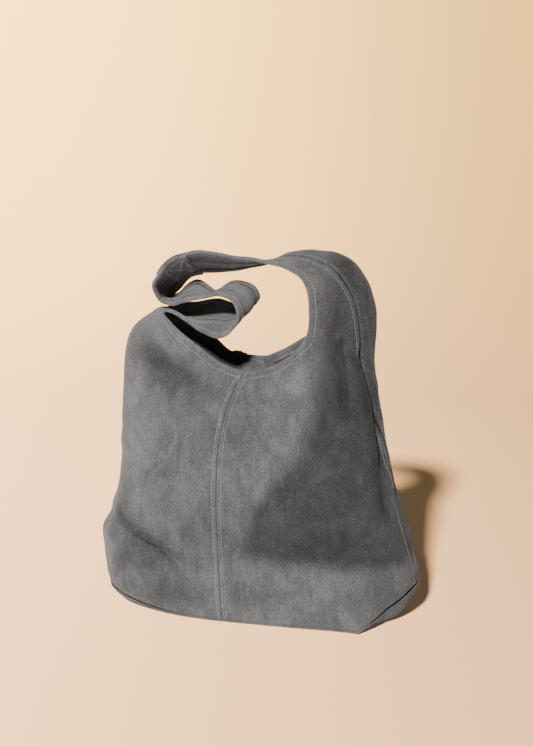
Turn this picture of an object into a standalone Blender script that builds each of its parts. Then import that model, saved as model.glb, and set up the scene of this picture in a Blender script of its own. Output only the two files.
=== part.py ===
"""Suede hobo bag: four panels, a base, a zipped inner pocket and the topstitching.

Metres, +Z up, the front faces -Y.  The bag's skin is one chain of cross sections that starts at
the left end of the base, climbs the left side, runs along the strap and comes down the right side.
Each section has a front edge F, a seam point S on the outside and a back edge B.
"""
import math

import bmesh
import bpy
import numpy as np
from mathutils import Vector
from mathutils.bvhtree import BVHTree

# ---------------------------------------------------------------- driving dimensions
SUEDE = 0.002              # thickness of the suede
SEAM_GAP = 0.0006          # each panel stops this far short of the centre seam's line
TOUCH_GAP = 0.0003         # space between pieces that touch
CENTRE_X = 0.0284          # middle of the bag in the section list's own X
FOLD_Z = 0.350             # height of the line where the strap starts to lean
FOLD_LIMIT = math.radians(20)
FOLD_GAP = 0.001
MOUTH_SECTION = 8          # the sections between these two follow the mouth and the strap
LAST_MOUTH_SECTION = 41
JOIN_START = 0.726         # the two strap ends overlap between these places on the chain
JOIN_END = 0.774
JOIN_FADE = 0.030
ROW_STEP_BODY = 0.016
ROW_STEP_STRAP = 0.0085
COLUMNS = 7                # columns of faces from an edge to the side seam
RIM_DROP = 0.96            # keeps the rim of the base under the seam where the ends climb
BASE_RINGS = ((1.0, 1.0), (0.97, 0.62), (0.93, 0.34), (0.88, 0.14), (0.82, 0.03), (0.76, 0.0))
THREAD_RADIUS = 0.0005
THREAD_LIFT = 0.0012       # centre of a thread above the suede
THREAD_STEP = {"centre": 0.012, "side": 0.012, "mouth": 0.004, "strap": 0.0045, "join": 0.003}
SEAM_INSET = 0.006         # topstitching beside a seam
HEM_INSET = 0.009          # topstitching beside a free edge

# Sections: front edge, side seam, back edge, roundness, and the powers of the section's curve.
SECTIONS = [
    ((0.000, -.070, .0023), (-.172, 0, .026), (0.000, .070, .0023), 1, (1, .60, 2.4)),
    ((-.001, -.073, .036), (-.180, 0, .060), (-.001, .073, .036), 1, (1, .65, 1.3)),
    ((-.003, -.075, .080), (-.180, 0, .095), (-.003, .075, .080), 1, (1, .70, 1)),
    ((-.005, -.075, .125), (-.169, 0, .130), (-.005, .075, .125), 1, (1, .75, 1)),
    ((-.006, -.074, .175), (-.157, 0, .175), (-.006, .073, .175), 1, (1, .80, 1)),
    ((-.004, -.071, .225), (-.154, 0, .223), (-.004, .065, .225), 1, (1, .85, 1)),
    ((.004, -.065, .272), (-.153, 0, .266), (.004, .058, .270), 1, (1, .90, 1)),
    ((.016, -.059, .307), (-.153, 0, .297), (.016, .052, .303), 1, (1, .95, 1)),
    ((.027, -.055, .326), (-.153, 0, .315), (.027, .049, .327), .97, (1, 1, 1)),
    ((-.004, -.052, .334), (-.152, 0, .333), (.002, .048, .3275), .92, (1, 1, 1)),
    ((-.035, -.047, .353), (-.147, 0, .355), (-.022, .047, .331), .82, (1, 1, 1)),
    ((-.060, -.045, .369), (-.132, -.003, .375), (-.050, .044, .355), .6, (1, 1, 1)),
    ((-.078, -.045, .383), (-.112, -.008, .387), (-.080, .033, .380), .35, (1, 1, 1)),
    ((-.0865, -.045, .392), (-.100, -.010, .3935), (-.0915, .028, .389), .1, (1, 1, 1)),
    ((-.0835, -.045, .3985), (-.090, -.011, .394), (-.086, .025, .3960), 0, (1, 1, 1)),
    ((-.068, -.045, .397), (-.073, -.012, .385), (-.069, .024, .398), 0, (1, 1, 1)),
    ((-.049, -.045, .3855), (-.052, -.011, .380), (-.050, .025, .4015), 0, (1, 1, 1)),
    ((-.029, -.045, .3725), (-.031, -.010, .381), (-.030, .025, .404), 0, (1, 1, 1)),
    ((-.009, -.045, .368), (-.008, -.009, .382), (-.008, .027, .398), 0, (1, 1, 1)),
    ((.0055, -.045, .379), (.008, -.008, .388), (.008, .028, .401), 0, (1, 1, 1)),
    ((.0130, -.045, .3925), (.019, -.008, .398), (.019, .028, .406), 0, (1, 1, 1)),
    ((.0080, -.045, .409), (.012, -.008, .414), (.014, .028, .418), 0, (1, 1, 1)),
    ((-.010, -.045, .417), (-.010, -.008, .421), (-.010, .028, .423), 0, (1, 1, 1)),
    ((-.032, -.045, .4135), (-.033, -.008, .4135), (-.036, .028, .410), 0, (1, 1, 1)),
    ((-.054, -.045, .4075), (-.057, -.008, .412), (-.062, .029, .424), 0, (1, 1, 1)),
    ((-.075, -.045, .403), (-.079, -.010, .402), (-.085, .027, .405), 0, (1, 1, 1)),
    ((-.091, -.045, .409), (-.096, -.010, .405), (-.099, .025, .400), 0, (1, 1, 1)),
    ((-.098, -.045, .424), (-.101, -.010, .416), (-.098, .024, .404), 0, (1, 1, 1)),
    ((-.090, -.045, .446), (-.091, -.011, .434), (-.084, .023, .418), 0, (1, 1, 1)),
    ((-.071, -.045, .463), (-.072, -.012, .449), (-.067, .022, .433), 0, (1, 1, 1)),
    ((-.036, -.045, .474), (-.040, -.012, .454), (-.038, .021, .439), 0, (1, 1, 1)),
    ((.012, -.043, .471), (.005, -.011, .455), (.003, .023, .446), 0, (1, 1, 1)),
    ((.050, -.037, .465), (.042, -.003, .460), (.036, .031, .454), 0, (1, 1, 1)),
    ((.078, -.032, .455), (.074, .001, .467), (.070, .036, .465), 0, (1, 1, 1)),
    ((.094, -.030, .442), (.102, .003, .461), (.106, .042, .460), .2, (1, 1, 1)),
    ((.101, -.031, .425), (.127, .003, .449), (.131, .046, .446), .4, (1, 1, 1)),
    ((.103, -.033, .404), (.147, .000, .424), (.136, .048, .419), .6, (1, 1, 1)),
    ((.103, -.036, .384), (.158, -.004, .396), (.126, .050, .392), .75, (1, 1, 1)),
    ((.099, -.041, .364), (.163, -.008, .365), (.109, .050, .370), .85, (1, 1, 1)),
    ((.078, -.048, .345), (.168, -.011, .337), (.080, .050, .356), .95, (1, 1, 1)),
    ((.052, -.053, .331), (.176, -.013, .308), (.052, .049, .339), 1, (1, 1, 1)),
    ((.027, -.055, .326), (.184, -.015, .280), (.027, .049, .327), 1, (1, 1, 1)),
    ((.016, -.059, .307), (.193, -.016, .247), (.016, .052, .303), 1, (.95, .95, 1)),
    ((.004, -.065, .272), (.202, -.016, .212), (.004, .058, .270), 1, (.9, .9, 1)),
    ((-.004, -.071, .225), (.211, -.015, .175), (-.004, .065, .225), 1, (.85, .8, 1)),
    ((-.006, -.074, .175), (.219, -.013, .140), (-.006, .073, .175), 1, (.8, .7, 1)),
    ((-.005, -.075, .125), (.227, -.010, .110), (-.005, .075, .125), 1, (.75, .6, 1)),
    ((-.003, -.075, .080), (.233, -.007, .085), (-.003, .075, .080), 1, (.7, .55, 1.6)),
    ((-.001, -.073, .036), (.237, -.004, .065), (-.001, .073, .036), 1, (.66, .8, 2.6)),
    ((0.000, -.070, .0023), (.238, 0, .050), (0.000, .070, .0023), 1, (.6, 1.2, 3.2)),
]
# How far the back half swells outward beside the side seam, by section number.
BACK_SWELL = {33: .004, 34: .012, 35: .021, 36: .028, 37: .032, 38: .031, 39: .028, 40: .022,
              41: .016, 42: .012, 43: .010, 44: .008, 45: .007, 46: .005, 47: .003}
# Powers of the back half where its lower right corner is squarer than the front's.
BACK_POWERS = {47: (.7, .5, 1.6), 48: (.66, .42, 3), 49: (.6, .40, 8)}
# Where the front half is drawn down to the lower right corner, as a share of the way to the seam,
# and how far in Y and Z, by section number.
CORNER_AT = 3 / 7
CORNER_END = 0.60
FRONT_CORNER = {47: (-.003, 0), 48: (-.009, -.004), 49: (-.0190, -.0085)}

# Inner pocket, hanging flat behind the mouth.
POCKET_CENTRE_X = 0.024
POCKET_HALF_WIDTH = 0.080
POCKET_TOP = 0.292
POCKET_BOTTOM = 0.165
POCKET_Y = 0.0345
LINING = 0.001
ZIP_Z = 0.270
ZIP_HALF_SPAN = 0.062
TEETH_WIDTH = 0.004
TEETH_DEPTH = 0.0022
TAPE_WIDTH = 0.011
TAPE = 0.0007

COLOURS = {
    "suede": ((0.165, 0.163, 0.160), 0.95, 0.0),
    "thread": ((0.36, 0.36, 0.35), 0.8, 0.0),
    "lining": ((0.09, 0.09, 0.09), 0.9, 0.0),
    "tape": ((0.06, 0.06, 0.06), 0.85, 0.0),
    "metal": ((0.42, 0.41, 0.39), 0.35, 1.0),
}


# ---------------------------------------------------------------- scene helpers
def clear_scene():
    for obj in list(bpy.data.objects):
        bpy.data.objects.remove(obj, do_unlink=True)


def make_material(name, slot):
    colour, roughness, metallic = COLOURS[slot]
    material = bpy.data.materials.new(name + "_" + slot)
    material.use_nodes = True
    shader = material.node_tree.nodes["Principled BSDF"]
    shader.inputs["Base Color"].default_value = (*colour, 1.0)
    shader.inputs["Roughness"].default_value = roughness
    shader.inputs["Metallic"].default_value = metallic
    return material


def finish_object(obj, name, slot, collection):
    obj.name = name
    obj.data.name = name
    obj.data.materials.clear()
    obj.data.materials.append(make_material(name, slot))
    for user in list(obj.users_collection):
        user.objects.unlink(obj)
    collection.objects.link(obj)
    return obj


def add_solidify(obj, thickness, offset=-1.0):
    solidify = obj.modifiers.new("Thickness", "SOLIDIFY")
    solidify.thickness = thickness
    solidify.offset = offset
    solidify.use_even_offset = False
    return solidify


def object_from_bmesh(bm, name, slot, collection):
    mesh = bpy.data.meshes.new(name)
    bm.to_mesh(mesh)
    bm.free()
    return finish_object(bpy.data.objects.new(name, mesh), name, slot, collection)


# ---------------------------------------------------------------- the skin's curves
def section_arrays():
    front, side, back = (np.array([s[i] for s in SECTIONS]) for i in range(3))
    for curve in (front, side, back):
        curve[:, 0] -= CENTRE_X
    roundness = np.array([s[3] for s in SECTIONS], float)
    powers = [np.array([s[4] for s in SECTIONS], float),
              np.array([BACK_POWERS.get(i, s[4]) for i, s in enumerate(SECTIONS)], float)]
    swell = np.array([BACK_SWELL.get(i, 0.0) for i in range(len(SECTIONS))])
    pull = np.array([(0, *FRONT_CORNER.get(i, (0, 0))) for i in range(len(SECTIONS))])
    return front, side, back, roundness, powers, swell, pull


def chain_stations(front, side, back):
    """Places of the sections along the chain, by the mean step of the three curves."""
    steps = sum(np.linalg.norm(np.diff(c, axis=0), axis=1) for c in (front, side, back)) / 3
    return np.concatenate([[0.0], np.cumsum(steps)])


def smooth_curve(stations, values, places):
    """Cubic Hermite curve through the values, with three-point tangents."""
    values = np.asarray(values, float)
    if values.ndim == 1:
        return smooth_curve(stations, values[:, None], places)[:, 0]
    step = np.diff(stations)[:, None]
    slope = np.diff(values, axis=0) / step
    tangent = np.zeros_like(values)
    tangent[1:-1] = (slope[:-1] * step[1:] + slope[1:] * step[:-1]) / (step[1:] + step[:-1])
    tangent[0] = slope[0]
    tangent[-1] = slope[-1]
    i = np.clip(np.searchsorted(stations, places, side="right") - 1, 0, len(stations) - 2)
    h = step[i]
    u = ((places - stations[i]) / h[:, 0])[:, None]
    return ((2 * u**3 - 3 * u**2 + 1) * values[i] + (u**3 - 2 * u**2 + u) * h * tangent[i]
            + (3 * u**2 - 2 * u**3) * values[i + 1] + (u**3 - u**2) * h * tangent[i + 1])


def cornered_curve(stations, values, places):
    """A smooth curve with a corner where the centre seam meets the mouth, on each side."""
    result = smooth_curve(stations, values, places)
    ends = (0, MOUTH_SECTION, LAST_MOUTH_SECTION, len(stations) - 1)
    for first, last in zip(ends, ends[1:]):
        inside = (places >= stations[first]) & (places <= stations[last])
        piece = slice(first, last + 1)
        result[inside] = smooth_curve(stations[piece], values[piece], places[inside])
    return result


def corner_share(fractions):
    """How much of the corner's pull each point gets: a slow rise up to it, then a quick fall."""
    rise = np.clip(fractions / CORNER_AT, 0, 1) ** 3
    return rise * np.clip((CORNER_END - fractions) / (CORNER_END - CORNER_AT), 0, 1)


def half_section(end, side, roundness, powers, fractions):
    """Points from a front or back edge to the side seam: flat at 0 roundness, full at 1."""
    angle = fractions * math.pi / 2
    power_x, power_y, power_z = powers
    corner = np.array([(end[0] + side[0]) / 2 + (end[0] - side[0]) / 2 * roundness,
                       (end[1] + side[1]) / 2 + (side[1] - end[1]) / 2 * roundness])
    along_end = np.cos(angle)[:, None] ** power_y
    along_side = np.sin(angle)[:, None] ** power_x
    curved = corner + (end[:2] - corner) * along_end + (side[:2] - corner) * along_side
    straight = end + (side - end) * fractions[:, None]
    points = straight.copy()
    points[:, :2] += roundness * (curved - straight[:, :2])
    rise = (1 - roundness) * fractions + roundness * np.sin(angle) ** power_z
    points[:, 2] = end[2] + (side[2] - end[2]) * rise
    return points


class Skin:
    """The outer face of the suede: a grid of points from edge F through seam S to edge B."""

    def __init__(self, places):
        front, side, back, roundness, powers, swell, pull = section_arrays()
        stations = chain_stations(front, side, back)
        self.places = places
        fractions = np.linspace(0, 1, COLUMNS + 1)
        curves = [cornered_curve(stations, front, places), smooth_curve(stations, side, places),
                  cornered_curve(stations, back, places),
                  *(smooth_curve(stations, half_powers, places) for half_powers in powers)]
        round_at = np.clip(smooth_curve(stations, roundness, places), 0, 1)
        swell_at = smooth_curve(stations, swell, places)
        pull_at = smooth_curve(stations, pull, places)
        corner = corner_share(fractions)[:, None]
        rows = []
        for f, s, b, front_powers, back_powers, r, extra, drawn in zip(*curves, round_at, swell_at, pull_at):
            front_half = half_section(f, s, r, front_powers, fractions) + corner * drawn
            back_half = half_section(b, s, r, back_powers, fractions)
            outward = s - (f + b) / 2
            outward /= np.linalg.norm(outward)
            back_half += extra * np.sin(math.pi * fractions)[:, None] * outward
            rows.append(np.concatenate([front_half, back_half[::-1][1:]]))
        self.points = np.array(rows)
        along = np.gradient(self.points, axis=0)
        across = np.gradient(self.points, axis=1)
        normal = np.cross(along, across)
        self.normals = normal / np.linalg.norm(normal, axis=2, keepdims=True)

    def inside_point(self, place, column, depth):
        """A point under the skin, at a place on the chain and a column that may be fractional."""
        row = np.interp(place, self.places, np.arange(len(self.places)))
        i, j = int(row), int(column)
        u, v = row - i, column - j
        weights = (((1 - u) * (1 - v), i, j), (u * (1 - v), i + 1, j),
                   ((1 - u) * v, i, j + 1), (u * v, i + 1, j + 1))
        point = sum(w * self.points[a, b] for w, a, b in weights)
        normal = sum(w * self.normals[a, b] for w, a, b in weights)
        return point - normal / np.linalg.norm(normal) * depth


def body_and_strap_places(stations):
    """Rows of the chain: wide steps on the bag's sides, short ones along the strap."""
    first = stations[MOUTH_SECTION]
    last = stations[LAST_MOUTH_SECTION]
    rows = [np.linspace(0, first, round(first / ROW_STEP_BODY) + 1)]
    strap_rows = round((last - first) / ROW_STEP_STRAP)
    rows.append(np.linspace(first, last, strap_rows + 1)[1:])
    down = stations[-1] - last
    rows.append(np.linspace(last, stations[-1], round(down / ROW_STEP_BODY) + 1)[1:])
    return np.concatenate(rows)


def join_lift(places):
    """How far the right strap end stands off the left one that it overlaps."""
    fade = np.clip((places - JOIN_END - TOUCH_GAP * 10) / JOIN_FADE, 0, 1)
    return (SUEDE + TOUCH_GAP) * (1 - fade * fade * (3 - 2 * fade))


def panel_points(skin, rows, is_front, is_right):
    """One panel's points: a run of rows and the columns of the front or the back half."""
    columns = slice(0, COLUMNS + 1) if is_front else slice(COLUMNS, 2 * COLUMNS + 1)
    points = skin.points[rows][:, columns].copy()
    if is_right:
        lift = join_lift(skin.places[rows])[:, None, None]
        points += skin.normals[rows][:, columns] * lift
    seam, inner = (-1, -2) if is_front else (0, 1)
    away = points[:, inner] - points[:, seam]
    gap = side_seam_gap(skin.points[rows])[:, None]
    points[:, seam] += away / np.linalg.norm(away, axis=1, keepdims=True) * gap
    return points


def side_seam_gap(rows):
    """How far a panel stops short of the side seam, so that bent neighbours don't meet inside."""
    before = rows[:, COLUMNS] - rows[:, COLUMNS - 1]
    after = rows[:, COLUMNS + 1] - rows[:, COLUMNS]
    cosine = (before * after).sum(axis=1)
    cosine /= np.linalg.norm(before, axis=1) * np.linalg.norm(after, axis=1)
    half_bend = np.arccos(np.clip(cosine, -1, 1)) / 2
    return TOUCH_GAP + SUEDE * 1.15 * np.tan(half_bend)


def open_centre_seam(points, is_front):
    """Moves the centre seam's edge off the middle line."""
    edge = 0 if is_front else -1
    inner = 1 if is_front else -2
    away = points[:, inner] - points[:, edge]
    length = np.linalg.norm(away, axis=1, keepdims=True)
    points[:, edge] += away / length * SEAM_GAP
    return points


def grid_bmesh(points, shoulder=()):
    """An open sheet of quads through a grid of points, with the shoulder's rows marked."""
    bm = bmesh.new()
    mark = bm.faces.layers.int.new("shoulder")
    rows, columns = points.shape[:2]
    verts = [[bm.verts.new(points[i, j]) for j in range(columns)] for i in range(rows)]
    for i in range(rows - 1):
        for j in range(columns - 1):
            corners = (verts[i][j], verts[i + 1][j], verts[i + 1][j + 1], verts[i][j + 1])
            bm.faces.new(corners)[mark] = int(i in shoulder)
    return bm


def cut_shoulder(bm, origin, normal):
    """Removes the marked faces' parts on the normal's side of a plane."""
    mark = bm.faces.layers.int["shoulder"]
    faces = [f for f in bm.faces if f[mark]]
    geometry = list({e for f in faces for e in f.edges} | {v for f in faces for v in f.verts})
    bmesh.ops.bisect_plane(bm, geom=geometry + faces, dist=1e-6, plane_co=origin,
                           plane_no=normal, clear_outer=True)


# ---------------------------------------------------------------- panels
def make_panels(skin, collection):
    """The four suede panels, each in two nodes that meet at the strap's fold."""
    ranges = {False: np.flatnonzero(skin.places <= JOIN_END), True: np.flatnonzero(skin.places >= JOIN_START)}
    top_of_seam = {False: MOUTH_SECTION, True: LAST_MOUTH_SECTION}
    tan_limit = math.tan(FOLD_LIMIT)
    panels = {}
    for is_front in (True, False):
        for is_right in (False, True):
            name = ("front_" if is_front else "back_") + ("right" if is_right else "left")
            rows = ranges[is_right]
            points = panel_points(skin, rows, is_front, is_right)
            seam_place = skin.section_place[top_of_seam[is_right]]
            below = skin.places[rows] >= seam_place if is_right else skin.places[rows] <= seam_place
            points[below] = open_centre_seam(points[below], is_front)

            lower = points[shoulder_side(skin, rows, is_right, 35, 13)]
            bm = grid_bmesh(lower, range(len(lower)))
            cut_shoulder(bm, (0, 0, FOLD_Z), (0, 0, 1))
            body = object_from_bmesh(bm, name + "_body", "suede", collection)
            add_solidify(body, SUEDE)

            upper = ~shoulder_side(skin, rows, is_right, 43, 7)
            marked = np.flatnonzero(shoulder_side(skin, rows[upper], is_right, 36, 12))
            bm = grid_bmesh(points[upper], marked)
            for side in (-1, 1):
                cut_shoulder(bm, (0, 0, FOLD_Z + FOLD_GAP), (0, side * tan_limit, -1))
            strap = object_from_bmesh(bm, name + "_strap", "suede", collection)
            add_solidify(strap, SUEDE)
            panels[name] = (body, strap)
    return panels


def shoulder_side(skin, rows, is_right, right_section, left_section):
    """Which rows lie on the bag's side of a section."""
    places = skin.places[rows]
    if is_right:
        return places > skin.section_place[right_section]
    return places < skin.section_place[left_section]


# ---------------------------------------------------------------- base
def make_base(skin, collection):
    """The base panel: a flat middle whose rim climbs to the base seam all round."""
    loop = np.concatenate([skin.points[0], skin.points[-1][::-1][1:-1]])
    middle = np.array([(loop[:, 0].max() + loop[:, 0].min()) / 2, 0.0])
    rim = np.maximum(loop[:, 2] - SUEDE - TOUCH_GAP, 0.0) * RIM_DROP
    bm = bmesh.new()
    rings = []
    for scale, height in BASE_RINGS:
        flat = middle + (loop[:, :2] - middle) * scale
        rings.append([bm.verts.new((x, y, z * height)) for (x, y), z in zip(flat, rim)])
    count = len(loop)
    for outer, inner in zip(rings, rings[1:]):
        for i in range(count):
            j = (i + 1) % count
            bm.faces.new((outer[i], outer[j], inner[j], inner[i]))
    bm.faces.new(rings[-1])
    bmesh.ops.recalc_face_normals(bm, faces=bm.faces)
    bm.faces.ensure_lookup_table()
    if bm.faces[-1].normal.z > 0:
        bmesh.ops.reverse_faces(bm, faces=bm.faces)
    base = object_from_bmesh(bm, "base_panel", "suede", collection)
    add_solidify(base, SUEDE)
    return base


# ---------------------------------------------------------------- threads
def make_tube(name, points, slot, collection, closed=False):
    curve = bpy.data.curves.new(name, "CURVE")
    curve.dimensions = "3D"
    curve.bevel_depth = THREAD_RADIUS
    curve.bevel_resolution = 1
    curve.use_fill_caps = True
    spline = curve.splines.new("POLY")
    spline.use_cyclic_u = closed
    spline.points.add(len(points) - 1)
    for spot, point in zip(spline.points, points):
        spot.co = (*point, 1.0)
    return finish_object(bpy.data.objects.new(name, curve), name, slot, collection)


def sheet_tree(obj):
    """A search tree over a panel's outer face."""
    verts = [v.co.copy() for v in obj.data.vertices]
    return BVHTree.FromPolygons(verts, [list(p.vertices) for p in obj.data.polygons])


def stitch_row(tree, edge, inset, step):
    """A thread's centre line: an edge moved into the panel and lifted off the suede."""
    lengths = np.concatenate([[0], np.cumsum(np.linalg.norm(np.diff(edge, axis=0), axis=1))])
    marks = np.linspace(0, lengths[-1], round(lengths[-1] / step) + 1)
    edge = np.array([np.interp(marks, lengths, edge[:, i]) for i in range(3)]).T
    tangents = np.gradient(edge, axis=0)
    points = []
    for spot, tangent in zip(edge, tangents):
        face_normal = tree.find_nearest(Vector(spot))[1]
        inward = face_normal.cross(Vector(tangent)).normalized()
        near, normal, _, _ = tree.find_nearest(Vector(spot) + inward * inset)
        points.append(near + normal * THREAD_LIFT)
    return points


def edge_run(skin, low, high, column, top=math.inf):
    """A column of the skin between two places on the chain and under a height."""
    rows = (skin.places >= low) & (skin.places <= high) & (skin.points[:, column, 2] < top)
    return skin.points[rows, column]


def make_threads(skin, panels, collection):
    place = skin.section_place
    below_fold = FOLD_Z - 0.006
    runs = []
    for face, column, turn in (("front", 0, 1), ("back", 2 * COLUMNS, -1)):
        seam = turn * SEAM_INSET
        hem = turn * HEM_INSET
        runs += [
            (face, "centre", "left", 0, place[0] + .004, place[8] - .012, column, seam),
            (face, "centre", "right", 0, place[41] + .012, place[-1] - .004, column, seam),
            (face, "mouth", "left", 0, place[8] + .022, place[11], column, hem),
            (face, "mouth", "right", 0, place[38], place[41] - .014, column, hem),
            (face, "strap", "left", 1, place[15], JOIN_START - .006, column, hem),
            (face, "strap", "right", 1, JOIN_END + .04, place[36], column, hem),
        ]
    runs += [
        ("front", "side", "left", 0, place[0] + .006, place[9], COLUMNS, -SEAM_INSET),
        ("front", "side", "right", 0, place[39], place[-1] - .006, COLUMNS, -SEAM_INSET),
    ]
    for face, kind, side, level, low, high, column, inset in runs:
        tree = sheet_tree(panels[face + "_" + side][level])
        top = math.inf if level else below_fold
        edge = edge_run(skin, low, high, column, top)
        path = stitch_row(tree, edge, inset, THREAD_STEP[kind])
        make_tube(face + "_" + kind + "_thread_" + side, path, "thread", collection)
    make_join_thread(skin, collection)


def make_join_thread(skin, collection):
    """The box of stitches that holds the two strap ends together, on the inner face."""
    low = JOIN_START + 0.008
    high = JOIN_END - 0.008
    first = COLUMNS * 0.35
    last = COLUMNS * 1.65
    corners = [(low, first), (low, last), (high, last), (high, first)]
    path = []
    for (place, column), (next_place, next_column) in zip(corners, corners[1:] + corners[:1]):
        for t in np.linspace(0, 1, 12, endpoint=False):
            at_place = place + (next_place - place) * t
            at_column = column + (next_column - column) * t
            path.append(skin.inside_point(at_place, at_column, SUEDE + THREAD_LIFT))
    make_tube("strap_join_thread", path, "thread", collection, closed=True)


# ---------------------------------------------------------------- inner pocket
def make_box(name, slot, collection, size, centre):
    bm = bmesh.new()
    bmesh.ops.create_cube(bm, size=1.0)
    bmesh.ops.scale(bm, vec=size, verts=bm.verts)
    obj = object_from_bmesh(bm, name, slot, collection)
    obj.location = centre
    return obj


def make_sheet(name, slot, collection, x_range, z_range, y, thickness):
    """A flat upright sheet whose front face is at y."""
    x0, x1 = x_range
    z0, z1 = z_range
    size = (x1 - x0, thickness, z1 - z0)
    centre = ((x0 + x1) / 2, y + thickness / 2, (z0 + z1) / 2)
    return make_box(name, slot, collection, size, centre)


def make_pocket(collection):
    centre = POCKET_CENTRE_X - CENTRE_X
    x_range = (centre - POCKET_HALF_WIDTH, centre + POCKET_HALF_WIDTH)
    opening = TEETH_WIDTH / 2 + TOUCH_GAP
    tape_edge = opening + TAPE_WIDTH
    front_y = POCKET_Y
    tape_y = front_y + LINING + TOUCH_GAP
    back_y = tape_y + TAPE + TOUCH_GAP
    lap = TEETH_WIDTH / 2 + 0.004
    make_sheet("pocket_front_lower", "lining", collection, x_range,
               (POCKET_BOTTOM, ZIP_Z - lap), front_y, LINING)
    make_sheet("pocket_front_upper", "lining", collection, x_range,
               (ZIP_Z + lap, POCKET_TOP), front_y, LINING)
    make_sheet("pocket_back", "lining", collection, x_range,
               (POCKET_BOTTOM, POCKET_TOP), back_y, LINING)
    tape_x = (x_range[0] + 0.003, x_range[1] - 0.003)
    make_sheet("zip_tape_upper", "tape", collection, tape_x,
               (ZIP_Z + opening, ZIP_Z + tape_edge), tape_y, TAPE)
    make_sheet("zip_tape_lower", "tape", collection, tape_x,
               (ZIP_Z - tape_edge, ZIP_Z - opening), tape_y, TAPE)
    span = (centre - ZIP_HALF_SPAN, centre + ZIP_HALF_SPAN)
    make_sheet("zip_teeth", "tape", collection, span,
               (ZIP_Z - TEETH_WIDTH / 2, ZIP_Z + TEETH_WIDTH / 2),
               tape_y + TAPE - TEETH_DEPTH, TEETH_DEPTH)
    for side, x in (("left", span[0] - 0.0023), ("right", span[1] + 0.0003)):
        make_sheet("zip_stop_" + side, "metal", collection, (x, x + 0.002),
                   (ZIP_Z - 0.003, ZIP_Z + 0.003), tape_y - TOUCH_GAP - 0.0016, 0.0016)
    make_slider(collection, centre - ZIP_HALF_SPAN + 0.006, tape_y)
    make_hanger(collection, centre, back_y + LINING)


def make_slider(collection, x, tape_y):
    """A channel over the teeth with a bail, and the pull that hangs from it."""
    half_length = 0.0045
    half_height = 0.0045
    teeth_front = tape_y + TAPE - TEETH_DEPTH
    roof_y = teeth_front - TOUCH_GAP
    outline = [(-half_height, tape_y - TOUCH_GAP), (-half_height, roof_y - 0.0010),
               (half_height, roof_y - 0.0010), (half_height, tape_y - TOUCH_GAP),
               (half_height - 0.0018, tape_y - TOUCH_GAP), (half_height - 0.0018, roof_y),
               (-half_height + 0.0018, roof_y), (-half_height + 0.0018, tape_y - TOUCH_GAP)]
    bm = bmesh.new()
    ends = [[bm.verts.new((x + end * half_length, y, ZIP_Z + z)) for z, y in outline]
            for end in (-1, 1)]
    count = len(outline)
    for i in range(count):
        j = (i + 1) % count
        bm.faces.new((ends[0][i], ends[0][j], ends[1][j], ends[1][i]))
    bm.faces.new(ends[0])
    bm.faces.new(ends[1][::-1])
    bmesh.ops.recalc_face_normals(bm, faces=bm.faces)
    slider = object_from_bmesh(bm, "zip_slider", "metal", collection)
    roof = roof_y - 0.0010
    bail = bail_cutter(x, roof)
    union = slider.modifiers.new("Bail", "BOOLEAN")
    union.operation = "UNION"
    union.object = bail
    make_pull(collection, x, roof)


def bail_cutter(x, roof):
    """The bail as a bent bar, joined to the slider: it stands on the roof at both feet."""
    points = [(x - 0.0036, roof + 0.0004), (x - 0.0036, roof - 0.0016), (x - 0.0028, roof - 0.0024),
              (x + 0.0028, roof - 0.0024), (x + 0.0036, roof - 0.0016), (x + 0.0036, roof + 0.0004)]
    bm = bmesh.new()
    radius = 0.0005
    sections = []
    for i, (px, py) in enumerate(points):
        before = Vector(points[max(i - 1, 0)])
        after = Vector(points[min(i + 1, len(points) - 1)])
        heading = (after - before).normalized()
        normal = Vector((-heading.y, heading.x))
        ring = []
        for k in range(8):
            angle = k * math.pi / 4
            offset = normal * (math.cos(angle) * radius)
            ring.append(bm.verts.new((px + offset.x, py + offset.y, ZIP_Z + math.sin(angle) * radius)))
        sections.append(ring)
    for ring, following in zip(sections, sections[1:]):
        for k in range(8):
            n = (k + 1) % 8
            bm.faces.new((ring[k], ring[n], following[n], following[k]))
    bm.faces.new(sections[0])
    bm.faces.new(sections[-1])
    bmesh.ops.recalc_face_normals(bm, faces=bm.faces)
    cutters = bpy.data.collections["cutters"]
    cutter = object_from_bmesh(bm, "bail_shape", "metal", cutters)
    cutter.hide_render = True
    cutter.display_type = "WIRE"
    return cutter


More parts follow.
